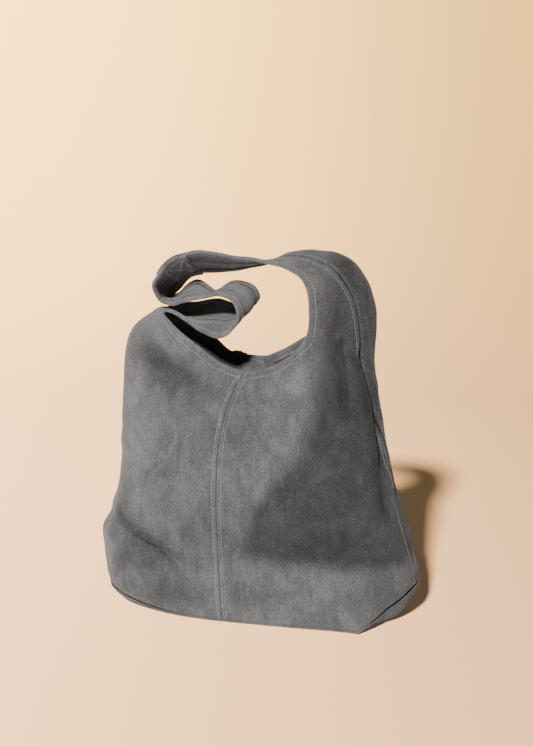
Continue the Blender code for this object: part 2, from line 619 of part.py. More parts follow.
def make_pull(collection, x, roof):
    """A flat tab with an eye round the bail's bar."""
    bar_y = roof - 0.0024
    eye_outer = 0.0022
    eye_inner = 0.0011
    length = 0.022
    half_thick = 0.0006
    segments = 12
    bm = bmesh.new()
    rings = []
    for end in (-1, 1):
        outer = []
        inner = []
        for k in range(segments):
            angle = 2 * math.pi * k / segments
            away = Vector((math.cos(angle), math.sin(angle)))
            outer.append(bm.verts.new((x + end * 0.0016, bar_y + away.x * eye_outer,
                                       ZIP_Z + away.y * eye_outer)))
            inner.append(bm.verts.new((x + end * 0.0016, bar_y + away.x * eye_inner,
                                       ZIP_Z + away.y * eye_inner)))
        rings.append((outer, inner))
    for k in range(segments):
        n = (k + 1) % segments
        (outer0, inner0), (outer1, inner1) = rings
        bm.faces.new((outer0[k], outer0[n], outer1[n], outer1[k]))
        bm.faces.new((inner0[n], inner0[k], inner1[k], inner1[n]))
        bm.faces.new((outer0[n], outer0[k], inner0[k], inner0[n]))
        bm.faces.new((outer1[k], outer1[n], inner1[n], inner1[k]))
    bmesh.ops.recalc_face_normals(bm, faces=bm.faces)
    pull = object_from_bmesh(bm, "zip_pull", "metal", collection)
    tab = bmesh.new()
    bmesh.ops.create_cube(tab, size=1.0)
    bmesh.ops.scale(tab, vec=(0.0050, 2 * half_thick, length), verts=tab.verts)
    top = ZIP_Z - (eye_outer + eye_inner) / 2
    bmesh.ops.translate(tab, vec=(x, bar_y - 0.0008, top - length / 2), verts=tab.verts)
    cutters = bpy.data.collections["cutters"]
    shape = object_from_bmesh(tab, "pull_tab_shape", "metal", cutters)
    shape.hide_render = True
    shape.display_type = "WIRE"
    union = pull.modifiers.new("Tab", "BOOLEAN")
    union.operation = "UNION"
    union.object = shape


def make_hanger(collection, centre, pocket_back):
    """A suede tab that ties the pocket's top to the back hem."""
    half_width = 0.030
    low = POCKET_TOP - 0.016
    profile = [(pocket_back + TOUCH_GAP, low), (pocket_back + TOUCH_GAP, POCKET_TOP - 0.004),
               (0.0425, 0.306), (0.0435, 0.317)]
    points = np.array([[(centre + side * half_width, y, z) for side in (-1, 1)] for y, z in profile])
    hanger = object_from_bmesh(grid_bmesh(points), "pocket_hanger", "suede", collection)
    add_solidify(hanger, 0.0012, 1.0)


def main():
    clear_scene()
    scene = bpy.context.scene
    collection = bpy.data.collections.new("hobo_bag")
    cutters = bpy.data.collections.new("cutters")
    scene.collection.children.link(collection)
    scene.collection.children.link(cutters)
    front, side, back = section_arrays()[:3]
    stations = chain_stations(front, side, back)
    skin = Skin(body_and_strap_places(stations))
    skin.section_place = stations
    panels = make_panels(skin, collection)
    make_base(skin, collection)
    make_pocket(collection)
    make_threads(skin, panels, collection)


main()
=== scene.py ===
"""Looks of the suede hobo bag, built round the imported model.

The suede is one skin, a chain of cross sections that starts at the left end of the base, climbs the
left side, runs along the strap and comes down the right side.  It is cut into four panels with turned
hems, seam allowances, topstitching and sculpted folds.  Metres, +Z up, the front faces -Y.
"""
import math

import bpy
import numpy as np
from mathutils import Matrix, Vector
from mathutils.bvhtree import BVHTree


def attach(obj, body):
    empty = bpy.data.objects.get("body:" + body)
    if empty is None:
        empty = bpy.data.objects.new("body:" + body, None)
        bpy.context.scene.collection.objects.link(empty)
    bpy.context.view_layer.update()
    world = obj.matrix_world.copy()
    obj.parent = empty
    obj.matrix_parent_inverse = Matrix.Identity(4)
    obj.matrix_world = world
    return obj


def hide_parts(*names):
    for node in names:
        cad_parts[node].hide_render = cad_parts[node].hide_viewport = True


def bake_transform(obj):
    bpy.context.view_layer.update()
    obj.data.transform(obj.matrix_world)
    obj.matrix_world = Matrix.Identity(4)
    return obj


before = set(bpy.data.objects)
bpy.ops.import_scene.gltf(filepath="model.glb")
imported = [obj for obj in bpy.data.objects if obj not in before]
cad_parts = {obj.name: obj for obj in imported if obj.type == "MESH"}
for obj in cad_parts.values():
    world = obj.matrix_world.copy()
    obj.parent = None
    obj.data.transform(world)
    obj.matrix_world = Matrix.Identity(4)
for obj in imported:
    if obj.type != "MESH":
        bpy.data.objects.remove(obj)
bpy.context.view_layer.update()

# ---------------- sizes
SUEDE = 0.002              # thickness of the suede
TOUCH_GAP = 0.0003         # space between pieces that touch
CENTRE_X = 0.0284          # middle of the bag in the section list's own X
MOUTH_SECTION = 8          # the sections between these two follow the mouth and the strap
LAST_MOUTH_SECTION = 41
STRAP_SECTIONS = (11, 38)  # the bag's own ripples end here
JOIN_START = 0.726         # the two strap ends overlap between these places on the chain
JOIN_END = 0.774
JOIN_FADE = 0.030

ROW_STEP_BODY = 0.0030
ROW_STEP_STRAP = 0.0024
# Distances of the columns from a front or back edge and from the side seam.
NEAR_EDGE = (0, .0003, .0008, .0014, .0022, .0034, .0048, .0062, .0076, .0090, .0104, .0116, .0120, .0135)
NEAR_SEAM = (.0115, .0098, .0094, .008, .0065, .005, .0038, .0026, .0016, .0009, .0004, 0)
MIDDLE_COLUMNS = 72
INNER_EVERY = 6            # the inner face keeps one middle column in this many
SEARCH_ROWS = 30           # how many rows away an edge still shapes a point
LINE_ROWS = 13             # rows over which a slant or a fold's line is evened out
STRAP_ROWS = 31            # rows over which the body's ripples give way to the strap's
LEAST_SINE = 0.34          # limits how much a row at a slant to the edge is stretched

HEM_WIDTH = 0.0118         # the turned hem
HEM_LAYER = 0.0022
HEM_ROUND = 0.0017
HEM_STITCH = 0.009
SEAM_WIDTH = 0.0096        # seam allowances, opened flat inside
SEAM_LAYER = 0.0012
SEAM_ROUND = 0.0016
SEAM_STITCH = 0.006
FLANGE_DEPTH = 0.0036      # the base's seam allowance inside the panels
FLANGE_THICKNESS = 0.0012
FLANGE_ROWS = 3
RIM_DROP = 0.985           # keeps the rim of the base under the seam where the ends climb
RIM_WIDTH = 0.24           # the rim's share of the way from the seam to the middle of the base
RIM_SHARES = (0, .004, .012, .03, .06, .10, .16, .24, .34, .46, .60, .76, 1)
RIM_POWER = 3              # how steeply the rim climbs to the seam
TOP_STEP_IN = 0.0004       # the base's top face starts this share further in

STITCH_LENGTH = 0.0031
STITCH_PITCH = 0.0040
STITCH_SIDES = 6
STITCH_RADIUS = 0.00034
SEAM_STITCH_RADIUS = 0.00026
JOIN_STITCH_RADIUS = 0.0006
# A stitch along its length: share of the length, height and thickness, both in radii.
STITCH_PROFILE = ((0, -.9, .55), (.12, .15, .95), (.5, .55, 1), (.88, .15, .95), (1, -.9, .55))
STITCH_DIP = 0.0006        # how far a row of stitches pulls the suede down, and how wide
DIP_WIDTH = 0.0012
PUFF_WIDTH = 0.0022        # the width of the swelling between a row of stitches and its edge
LINE_STEP = 0.002          # step of the lines that stitches follow
INWARD_COLUMNS = 14        # the way into a panel is taken to this column
JOIN_BOX_END = 0.008       # the join's box of stitches keeps this far from the overlap's ends
JOIN_BOX_SIDES = (.18, .82)   # its sides, as shares of the strap's width
JOIN_BOX_INSETS = (0, .05)    # it is sewn twice, the second one a little smaller

WORN_HEM = (.0010, .0030)  # rubbed line along a hem: distance from the edge and width
WORN_SEAM = (.0022, .0022)
WORN_TURN = (HEM_WIDTH - .0010, .0010)   # the same along the turned hem's edge, inside the bag
SEAM_DIRT_AND_SHADE = .0011          # width of the dark line in a seam, partly dirt and partly painted shade in its groove
# painted shadow where the turned hem's layer steps down, inside the bag: distance from the edge and width
HEM_STEP_SHADOW = (HEM_WIDTH + .0008, .0012)
DARK_STRENGTH = 1.8
TURN_STRENGTH = 1.2

# Sections: front edge, side seam, back edge, roundness (0 if left out), and the powers of the
# section's curve (1 each if left out).
SECTIONS = [
    ((0, -.07, .0023), (-.172, 0, .026), (0, .07, .0023), 1, (1, .6, 2.4)),
    ((-.001, -.073, .036), (-.18, 0, .06), (-.001, .073, .036), 1, (1, .65, 1.3)),
    ((-.003, -.075, .08), (-.18, 0, .095), (-.003, .075, .08), 1, (1, .7, 1)),
    ((-.005, -.075, .125), (-.169, 0, .13), (-.005, .075, .125), 1, (1, .75, 1)),
    ((-.006, -.074, .175), (-.157, 0, .175), (-.006, .073, .175), 1, (1, .8, 1)),
    ((-.004, -.071, .225), (-.154, 0, .223), (-.004, .065, .225), 1, (1, .85, 1)),
    ((.004, -.065, .272), (-.153, 0, .266), (.004, .058, .27), 1, (1, .9, 1)),
    ((.016, -.059, .307), (-.153, 0, .297), (.016, .052, .303), 1, (1, .95, 1)),
    ((.027, -.055, .326), (-.153, 0, .315), (.027, .049, .327), .97),
    ((-.004, -.052, .334), (-.152, 0, .333), (.002, .048, .3275), .92),
    ((-.035, -.047, .353), (-.147, 0, .355), (-.022, .047, .331), .82),
    ((-.06, -.045, .369), (-.132, -.003, .375), (-.05, .044, .355), .6),
    ((-.078, -.045, .383), (-.112, -.008, .387), (-.08, .033, .38), .35),
    ((-.0865, -.045, .392), (-.1, -.01, .3935), (-.0915, .028, .389), .1),
    ((-.0835, -.045, .3985), (-.09, -.011, .394), (-.086, .025, .396)),
    ((-.068, -.045, .397), (-.073, -.012, .385), (-.069, .024, .398)),
    ((-.049, -.045, .3855), (-.052, -.011, .38), (-.05, .025, .4015)),
    ((-.029, -.045, .3725), (-.031, -.01, .381), (-.03, .025, .404)),
    ((-.009, -.045, .368), (-.008, -.009, .382), (-.008, .027, .398)),
    ((.0055, -.045, .379), (.008, -.008, .388), (.008, .028, .401)),
    ((.013, -.045, .3925), (.019, -.008, .398), (.019, .028, .406)),
    ((.008, -.045, .409), (.012, -.008, .414), (.014, .028, .418)),
    ((-.01, -.045, .417), (-.01, -.008, .421), (-.01, .028, .423)),
    ((-.032, -.045, .4135), (-.033, -.008, .4135), (-.036, .028, .41)),
    ((-.054, -.045, .4075), (-.057, -.008, .412), (-.062, .029, .424)),
    ((-.075, -.045, .403), (-.079, -.01, .402), (-.085, .027, .405)),
    ((-.091, -.045, .409), (-.096, -.01, .405), (-.099, .025, .4)),
    ((-.098, -.045, .424), (-.101, -.01, .416), (-.098, .024, .404)),
    ((-.09, -.045, .446), (-.091, -.011, .434), (-.084, .023, .418)),
    ((-.071, -.045, .463), (-.072, -.012, .449), (-.067, .022, .433)),
    ((-.036, -.045, .474), (-.04, -.012, .454), (-.038, .021, .439)),
    ((.012, -.043, .471), (.005, -.011, .455), (.003, .023, .446)),
    ((.05, -.037, .465), (.042, -.003, .46), (.036, .031, .454)),
    ((.078, -.032, .455), (.074, .001, .467), (.07, .036, .465)),
    ((.094, -.03, .442), (.102, .003, .461), (.106, .042, .46), .2),
    ((.101, -.031, .425), (.127, .003, .449), (.131, .046, .446), .4),
    ((.103, -.033, .404), (.147, 0, .424), (.136, .048, .419), .6),
    ((.103, -.036, .384), (.158, -.004, .396), (.126, .05, .392), .75),
    ((.099, -.041, .364), (.163, -.008, .365), (.109, .05, .37), .85),
    ((.078, -.048, .345), (.168, -.011, .337), (.08, .05, .356), .95),
    ((.052, -.053, .331), (.176, -.013, .308), (.052, .049, .339), 1),
    ((.027, -.055, .326), (.184, -.015, .28), (.027, .049, .327), 1),
    ((.016, -.059, .307), (.193, -.016, .247), (.016, .052, .303), 1, (.95, .95, 1)),
    ((.004, -.065, .272), (.202, -.016, .212), (.004, .058, .27), 1, (.9, .9, 1)),
    ((-.004, -.071, .225), (.211, -.015, .175), (-.004, .065, .225), 1, (.85, .8, 1)),
    ((-.006, -.074, .175), (.219, -.013, .14), (-.006, .073, .175), 1, (.8, .7, 1)),
    ((-.005, -.075, .125), (.227, -.01, .11), (-.005, .075, .125), 1, (.75, .6, 1)),
    ((-.003, -.075, .08), (.233, -.007, .085), (-.003, .075, .08), 1, (.7, .55, 1.6)),
    ((-.001, -.073, .036), (.237, -.004, .065), (-.001, .073, .036), 1, (.66, .8, 2.6)),
    ((0, -.07, .0023), (.238, 0, .05), (0, .07, .0023), 1, (.6, 1.2, 3.2)),
]
# How far the back half swells outward beside the side seam, by section number.
BACK_SWELL = {33: .004, 34: .012, 35: .021, 36: .028, 37: .032, 38: .031, 39: .028, 40: .022,
              41: .016, 42: .012, 43: .010, 44: .008, 45: .007, 46: .005, 47: .003}
# Powers of the back half where its lower right corner is squarer than the front's.
BACK_POWERS = {47: (.7, .5, 1.6), 48: (.66, .42, 3), 49: (.6, .40, 8)}
# Where the front half is drawn down to the lower right corner, as a share of the way to the seam,
# and how far in Y and Z, by section number.
CORNER_AT = 3 / 7
CORNER_END = 0.60
FRONT_CORNER = {47: (-.003, 0), 48: (-.009, -.004), 49: (-.0190, -.0085)}

# Ripples: height, wavelength and seed.  The body's calm down towards the edges, over these distances.
BODY_RIPPLES = ((.0018, .13, 3), (.0011, .055, 5), (.0004, .024, 8))
STRAP_RIPPLES = ((.0004, .030, 9),)
CALM_HEM = .030
CALM_CENTRE = .03
CALM_BASE = .02
CALM_SIDE = .05
# Painted shade along a fold: (distance above the line, width) of the dark line and of its paler fringe.
CREASE_SHADE_LINE = (.002, .0042)
CREASE_SHADE_FRINGE = (.008, .009)
FRINGE_STRENGTH = .8
CREASE_SHADE_TONE = 0.2         # the darkest that the painted fold shade leaves the suede
# Folds: path; way up; valley's depth and width; swelling above and below, as height, distance and
# width; how much of the path fades in and out; darkness of the painted shade along the fold.
FOLDS = [
    ([(-.208, -.001, .118), (-.2, -.02, .122), (-.17, -.051, .112), (-.126, -.067, .091),
      (-.07, -.073, .058)],
     (.35, 0, .9), (0, .0042), (.0022, .014, .012), (.0064, .022, .019), (.3, .5), 0),
    ([(-.19, -.034, .121), (-.17, -.051, .112), (-.146, -.062, .098), (-.126, -.067, .091),
      (-.109, -.069, .08), (-.091, -.072, .071), (-.07, -.073, .058)],
     (.35, 0, .9), (.0095, .0056), (.004, .011, .008), (0, .01, .01), (.12, .45), .86),
    ([(-.188, -.041, .036), (-.16, -.057, .062), (-.126, -.067, .08)],
     (-.4, 0, .9), (.003, .005), (.0014, .012, .01), (.0014, .012, .01), (.2, .4), .1),
    ([(.118, -.024, .371), (.121, -.028, .35), (.124, -.032, .328), (.127, -.038, .29),
      (.128, -.043, .255)],
     (-1, 0, 0), (.0055, .0045), (.003, .011, .008), (.001, .01, .007), (.08, .35), .45),
    ([(.14, -.004, .36), (.149, -.008, .308), (.159, -.019, .266), (.169, -.027, .218),
      (.176, -.038, .169), (.181, -.046, .126)],
     (-1, 0, -.3), (.0085, .005), (.0036, .013, .009), (.003, .011, .008), (.08, .2), .7),
    ([(.082, -.036, .385), (.079, -.042, .356), (.077, -.049, .319), (.069, -.055, .282),
      (.055, -.062, .248), (.034, -.068, .22), (.008, -.072, .198)],
     (1, 0, -.6), (-.0095, .016), (-.008, .036, .022), (-.002, .034, .02), (.12, .35), 0),
    ([(-.15, -.022, .35), (-.11, -.042, .336), (-.07, -.053, .316), (-.03, -.059, .3)],
     (.2, 0, 1), (.0055, .014), (.0045, .026, .014), (.002, .032, .02), (.25, .35), 0),
    ([(.178, -.045, .13), (.12, -.066, .122), (.06, -.074, .116), (0, -.075, .122)],
     (0, 0, 1), (.006, .022), (.005, .05, .03), (.007, .036, .02), (.25, .35), 0),
    ([(.03, -.056, .3), (.055, -.055, .298), (.078, -.05, .3)],
     (0, 0, 1), (.0028, .006), (.0012, .014, .008), (.001, .012, .008), (.3, .3), .1),
]

# The ridge that runs down from the front of the strap's right root: heights and the ridge's X there.
RIDGE_Z = (.080, .106, .153, .194, .232, .269, .319, .360, .410)
RIDGE_X = (-.012, -.008, .011, .042, .067, .081, .087, .088, .092)
NAP_AND_PAINTED_SHADE = 0.56           # how much darker the suede is to the right of the ridge: partly nap brushed the other way, partly painted shade where the side turns from the light
NAP_AND_PAINTED_SHADE_EDGE = (-.010, .020)   # the shade comes in between these distances from the ridge
NAP_AND_PAINTED_SHADE_FOOT = (.074, .100)    # and between these heights
# Patches of tone: centre, reach and how much paler or darker the suede is there.  They are partly
# brushed nap, partly painted shade and painted highlight where light falls away from the folds or onto the
# ridge.
NAP_AND_LIGHT_PATCHES = [
    ((-.14, -.03, .341), (.024, .04, .014), -.3),
    ((-.116, -.04, .328), (.036, .04, .018), -.46),
    ((-.08, -.05, .308), (.034, .04, .02), -.34),
    ((-.048, -.056, .296), (.026, .04, .014), -.2),
    ((-.135, -.06, .23), (.022, .05, .1), .06),
    ((-.078, -.068, .2), (.02, .04, .11), -.09),
    ((.04, -.058, .3), (.035, .03, .03), .16),
    ((.07, -.055, .275), (.014, .03, .05), .1),
    ((.044, -.06, .288), (.028, .03, .007), -.14),
    ((.058, -.064, .235), (.016, .03, .024), .1),
    ((.05, -.073, .05), (.07, .05, .045), -.12),
    ((-.112, -.067, .15), (.032, .05, .035), .09),
    ((-.15, -.055, .07), (.038, .05, .03), -.4),
    ((-.1, -.07, .03), (.05, .04, .02), -.16),
    ((.17, -.05, .05), (.05, .06, .04), -.26),
    ((.19, 0, .06), (.06, .06, .06), -.15),
]


# ---------------- the skin's curves, as in the CAD
def section_arrays():
    front, side, back = (np.array([s[i] for s in SECTIONS]) for i in range(3))
    for curve in (front, side, back):
        curve[:, 0] -= CENTRE_X
    roundness = np.array([s[3] if len(s) > 3 else 0 for s in SECTIONS], float)
    front_powers = [s[4] if len(s) > 4 else (1, 1, 1) for s in SECTIONS]
    back_powers = [BACK_POWERS.get(i, own) for i, own in enumerate(front_powers)]
    powers = [np.array(half_powers, float) for half_powers in (front_powers, back_powers)]
    swell = np.array([BACK_SWELL.get(i, 0.0) for i in range(len(SECTIONS))])
    pull = np.array([(0, *FRONT_CORNER.get(i, (0, 0))) for i in range(len(SECTIONS))])
    return front, side, back, roundness, powers, swell, pull


def chain_stations(front, side, back):
    """Places of the sections along the chain, by the mean step of the three curves."""
    steps = sum(np.linalg.norm(np.diff(c, axis=0), axis=1) for c in (front, side, back)) / 3
    return np.concatenate([[0.0], np.cumsum(steps)])


def smooth_curve(stations, values, places):
    """Cubic Hermite curve through the values, with three-point tangents."""
    values = np.asarray(values, float)
    if values.ndim == 1:
        return smooth_curve(stations, values[:, None], places)[:, 0]
    step = np.diff(stations)[:, None]
    slope = np.diff(values, axis=0) / step
    tangent = np.zeros_like(values)
    tangent[1:-1] = (slope[:-1] * step[1:] + slope[1:] * step[:-1]) / (step[1:] + step[:-1])
    tangent[0] = slope[0]
    tangent[-1] = slope[-1]
    i = np.clip(np.searchsorted(stations, places, side="right") - 1, 0, len(stations) - 2)
    h = step[i]
    u = ((places - stations[i]) / h[:, 0])[:, None]
    return ((2 * u**3 - 3 * u**2 + 1) * values[i] + (u**3 - 2 * u**2 + u) * h * tangent[i]
            + (3 * u**2 - 2 * u**3) * values[i + 1] + (u**3 - u**2) * h * tangent[i + 1])


def cornered_curve(stations, values, places):
    """A smooth curve with a corner where the centre seam meets the mouth, on each side."""
    result = smooth_curve(stations, values, places)
    ends = (0, MOUTH_SECTION, LAST_MOUTH_SECTION, len(stations) - 1)
    for first, last in zip(ends, ends[1:]):
        inside = (places >= stations[first]) & (places <= stations[last])
        piece = slice(first, last + 1)
        result[inside] = smooth_curve(stations[piece], values[piece], places[inside])
    return result


def corner_share(fractions):
    """How much of the corner's pull each point gets: a slow rise up to it, then a quick fall."""
    rise = np.clip(fractions / CORNER_AT, 0, 1) ** 3
    return rise * np.clip((CORNER_END - fractions) / (CORNER_END - CORNER_AT), 0, 1)


def half_section(end, side, roundness, powers, swell, pull, fractions):
    """Points from a front or back edge to the side seam: flat at 0 roundness, full at 1.

    swell is the back half's swelling, pull the front half's corner.
    """
    angle = fractions * math.pi / 2
    power_x, power_y, power_z = powers
    corner = np.array([(end[0] + side[0]) / 2 + (end[0] - side[0]) / 2 * roundness,
                       (end[1] + side[1]) / 2 + (side[1] - end[1]) / 2 * roundness])
    along_end = np.maximum(np.cos(angle), 0)[:, None] ** power_y
    along_side = np.sin(angle)[:, None] ** power_x
    curved = corner + (end[:2] - corner) * along_end + (side[:2] - corner) * along_side
    straight = end + (side - end) * fractions[:, None]
    points = straight.copy()
    points[:, :2] += roundness * (curved - straight[:, :2])
    rise = (1 - roundness) * fractions + roundness * np.sin(angle) ** power_z
    points[:, 2] = end[2] + (side[2] - end[2]) * rise
    points += np.sin(math.pi * fractions)[:, None] * swell
    return points + corner_share(fractions)[:, None] * pull


# ---------------- small numeric tools
def smoothstep(low, high, value):
    t = np.clip((value - low) / (high - low), 0, 1)
    return t * t * (3 - 2 * t)


def bell(value, width):
    return np.exp(-(value / width) ** 2)


def ripple(points, wavelength, seed, waves=14):
    """Smooth unit undulation in space: a sum of plane waves in seeded directions."""
    random = np.random.default_rng(seed)
    total = np.zeros(points.shape[:-1])
    for _ in range(waves):
        direction = random.normal(size=3)
        direction /= np.linalg.norm(direction)
        length = wavelength * random.uniform(0.7, 1.5)
        total += np.sin(points @ direction * 2 * math.pi / length + random.uniform(0, 2 * math.pi))
    return total / math.sqrt(waves / 2)


def ripples(points, kinds):
    return sum(size * ripple(points, wavelength, seed) for size, wavelength, seed in kinds)


def turned_edge(distance, radius):
    """How far a turned edge's face falls away, by the distance from the edge."""
    inside = np.clip(1 - distance / radius, 0, 1)
    return radius * (1 - np.sqrt(1 - inside * inside))


def evened(values, width):
    """Values smoothed by a bell over this many of them."""
    kernel = np.hanning(width) / np.hanning(width).sum()
    return np.convolve(np.pad(values, width // 2, mode="edge"), kernel, "valid")


def lengths_along(points):
    """The length of a line up to each of its points."""
    return np.concatenate([[0], np.cumsum(np.linalg.norm(np.diff(points, axis=0), axis=1))])


def points_at(marks, lengths, points):
    """Points of a line at the marks on its length."""
    return np.array([np.interp(marks, lengths, column) for column in points.T]).T


def unit(vectors):
    return vectors / np.linalg.norm(vectors, axis=-1, keepdims=True)


def grid_faces(numbers, flip=False):
    """Quads over a grid of point numbers."""
    quads = np.stack([numbers[:-1, :-1], numbers[1:, :-1], numbers[1:, 1:], numbers[:-1, 1:]], axis=2)
    return quads[:, :, [0, 3, 2, 1] if flip else [0, 1, 2, 3]].reshape(-1, 4).tolist()


def tube_faces(rings, flip=False):
    """Quads from each closed ring of point numbers to the next one."""
    return grid_faces(np.array([[*ring, ring[0]] for ring in rings]), flip)


def grid_normals(points):
    along = np.gradient(points, axis=0)
    across = np.gradient(points, axis=1)
    normal = np.cross(along, across)
    return normal / np.maximum(np.linalg.norm(normal, axis=2, keepdims=True), 1e-12)


# ---------------- the fine skin
def chain_rows(stations):
    """Rows of the chain, with one exactly at each end of the mouth."""
    first = stations[MOUTH_SECTION]
    last = stations[LAST_MOUTH_SECTION]
    runs = ((0, first, ROW_STEP_BODY), (first, last, ROW_STEP_STRAP),
            (last, stations[-1], ROW_STEP_BODY))
    rows = [np.linspace(a, b, round((b - a) / step) + 1) for a, b, step in runs]
    return np.concatenate([rows[0], rows[1][1:], rows[2][1:]])


def even_columns(curve, stretch):
    """Fractions along one half section that put the columns at set distances from both edges."""
    trial = (1 - np.cos(np.linspace(0, math.pi, 240))) / 2
    length = lengths_along(curve(trial))
    total = length[-1]
    near = np.array(NEAR_EDGE) * min(stretch, 0.55 * total / NEAR_EDGE[-1])
    seam = total - np.array(NEAR_SEAM)
    middle = np.linspace(near[-1], seam[0], MIDDLE_COLUMNS + 2)[1:-1]
    return np.interp(np.concatenate([near, middle, seam]), length, trial)


class Skin:
    """The outer face: rows along the chain, columns from the front edge over the seam to the back."""

    def __init__(self):
        front, side, back, roundness, powers, swell, pull = section_arrays()
        self.stations = chain_stations(front, side, back)
        self.places = chain_rows(self.stations)
        places = self.places
        edges = [cornered_curve(self.stations, curve, places) for curve in (front, back)]
        seam, round_at, swell_at, pull_at, *powers_at = (
            smooth_curve(self.stations, values, places)
            for values in (side, roundness, swell, pull, *powers))
        round_at = np.clip(round_at, 0, 1)
        outward = unit(seam - (edges[0] + edges[1]) / 2)
        halves = []
        for k, edge in enumerate(edges):
            stretch = self.edge_stretch(edge, seam)
            rows = []
            for i in range(len(places)):
                def curve(fractions):
                    return half_section(edge[i], seam[i], round_at[i], powers_at[k][i],
                                        swell_at[i] * k * outward[i], pull_at[i] * (1 - k), fractions)
                rows.append(curve(even_columns(curve, stretch[i])))
            halves.append(np.array(rows))
        self.half = halves[0].shape[1]
        self.points = np.concatenate([halves[0], halves[1][:, ::-1][:, 1:]], axis=1)
        self.normals = grid_normals(self.points)
        self.edges = edges
        self.seam = seam
        self.measure_edges()

    def edge_stretch(self, edge, seam):
        """Rows that leave the edge at a slant get wider columns, so that a hem spans the same ones."""
        heading = np.gradient(edge, axis=0)
        across = seam - edge
        cosine = (heading * across).sum(axis=1)
        cosine /= np.linalg.norm(heading, axis=1) * np.linalg.norm(across, axis=1)
        stretch = 1 / np.maximum(np.sqrt(np.maximum(1 - cosine * cosine, 0)), LEAST_SINE)
        return evened(stretch, LINE_ROWS)

    def row_at(self, place):
        return int(np.argmin(np.abs(self.places - place)))

    def distance_to(self, line, first_row, last_row):
        """Distance from every point to a line along the rows, among the rows near the point."""
        starts = line[first_row:last_row]
        steps = line[first_row + 1:last_row + 1] - starts
        lengths = np.maximum((steps * steps).sum(axis=1), 1e-15)
        result = np.full(self.points.shape[:2], 1.0)
        for i, row in enumerate(self.points):
            low = max(i - SEARCH_ROWS - first_row, 0)
            high = min(i + SEARCH_ROWS - first_row, len(starts))
            if low >= high:
                continue
            offset = row[:, None] - starts[None, low:high]
            along = (offset * steps[low:high]).sum(axis=2) / lengths[low:high]
            offset -= np.clip(along, 0, 1)[:, :, None] * steps[low:high]
            result[i] = np.sqrt((offset * offset).sum(axis=2).min(axis=1))
        return result

    def measure_edges(self):
        mouth = self.row_at(self.stations[MOUTH_SECTION])
        last_mouth = self.row_at(self.stations[LAST_MOUTH_SECTION])
        end = len(self.places) - 1
        is_front = np.arange(self.points.shape[1]) < self.half

        def edge_distance(first_row, last_row):
            return np.where(is_front, *(self.distance_to(line, first_row, last_row) for line in self.edges))

        self.hem = edge_distance(mouth, last_mouth)
        self.centre = np.minimum(edge_distance(0, mouth), edge_distance(last_mouth, end))
        self.side = self.distance_to(self.seam, 0, end)
        step = np.linalg.norm(np.diff(self.points, axis=0), axis=2)
        up = np.concatenate([np.zeros((1, step.shape[1])), np.cumsum(step, axis=0)])
        self.base = np.minimum(up, up[-1] - up)


# ---------------- folds
def crease_path(skin, path):
    """A given line, laid onto the front of the skin and made even."""
    corners = np.array(path, float)
    line = points_at(np.linspace(0, len(corners) - 1, 60), np.arange(len(corners)), corners)
    cloud = skin.points[:, :skin.half].reshape(-1, 3)
    for i, spot in enumerate(line):
        line[i] = cloud[np.argmin(((cloud - spot) ** 2).sum(axis=1))]
    return np.array([evened(column, LINE_ROWS) for column in line.T]).T


def crease(skin, path, up, valley, above, below, ends, dark):
    """A fold along a line: a narrow valley with a swelling on either side, fading at the ends.

    Returns the heights, and how dark the painted shade is along the valley.
    """
    line = crease_path(skin, path)
    points = skin.points.reshape(-1, 3)
    offset = points[:, None] - line[None]
    nearest = np.argmin((offset * offset).sum(axis=2), axis=1)
    away = offset[np.arange(len(points)), nearest]
    distance = np.linalg.norm(away, axis=1) * np.sign(away @ np.array(up, float))
    along = nearest / (len(line) - 1)
    fade = smoothstep(0, ends[0], along) * (1 - smoothstep(1 - ends[1], 1, along))
    shape = -valley[0] * bell(distance, valley[1])
    shape += above[0] * bell(distance - above[1], above[2])
    shape += below[0] * bell(distance + below[1], below[2])
    line_dark, fringe_dark = (bell(distance - at, width) for at, width in (CREASE_SHADE_LINE, CREASE_SHADE_FRINGE))
    crease_shade = dark * np.maximum(line_dark, FRINGE_STRENGTH * fringe_dark)
    return [(values * fade).reshape(skin.points.shape[:2]) for values in (shape, crease_shade)]


def body_share(skin):
    """1 on the bag's body, 0 on the strap."""
    low, high = (skin.stations[section] for section in STRAP_SECTIONS)
    strap = (skin.places > low) & (skin.places < high)
    return evened(np.where(strap, 0.0, 1.0), STRAP_ROWS)[:, None]


def fold_height(skin):
    """How far the suede stands off the smooth skin, before seams, and how dark the painted shade in its
    folds is.
    """
    body = body_share(skin)
    calm = smoothstep(0, CALM_HEM, skin.hem) * (0.35 + 0.65 * smoothstep(0, CALM_CENTRE, skin.centre))
    calm *= smoothstep(0, CALM_BASE, skin.base) * (0.15 + 0.85 * smoothstep(0, CALM_SIDE, skin.side))
    height = ripples(skin.points, BODY_RIPPLES) * calm * body
    height += ripples(skin.points, STRAP_RIPPLES) * (1 - body)
    crease_shade = np.zeros_like(height)
    for fold in FOLDS:
        shape, dark = crease(skin, *fold)
        height += shape
        crease_shade += dark
    return height, crease_shade


# ---------------- panels
def seam_profile(skin):
    """How far the outer face falls at turned edges and stitch lines."""
    drop = turned_edge(skin.hem, HEM_ROUND)
    for distance in (skin.centre, skin.side, skin.base):
        drop = np.maximum(drop, turned_edge(distance, SEAM_ROUND))
    for distance, stitch in ((skin.hem, HEM_STITCH), (skin.centre, SEAM_STITCH), (skin.side, SEAM_STITCH)):
        drop += STITCH_DIP * bell(distance - stitch, DIP_WIDTH)
        drop -= STITCH_DIP * bell(distance - stitch * 0.5, PUFF_WIDTH)
    return drop


def layer_end(distance, width):
    """1 where a turned layer of this width lies, 0 beyond it."""
    return 1 - smoothstep(width - .0002, width + .0003, distance)


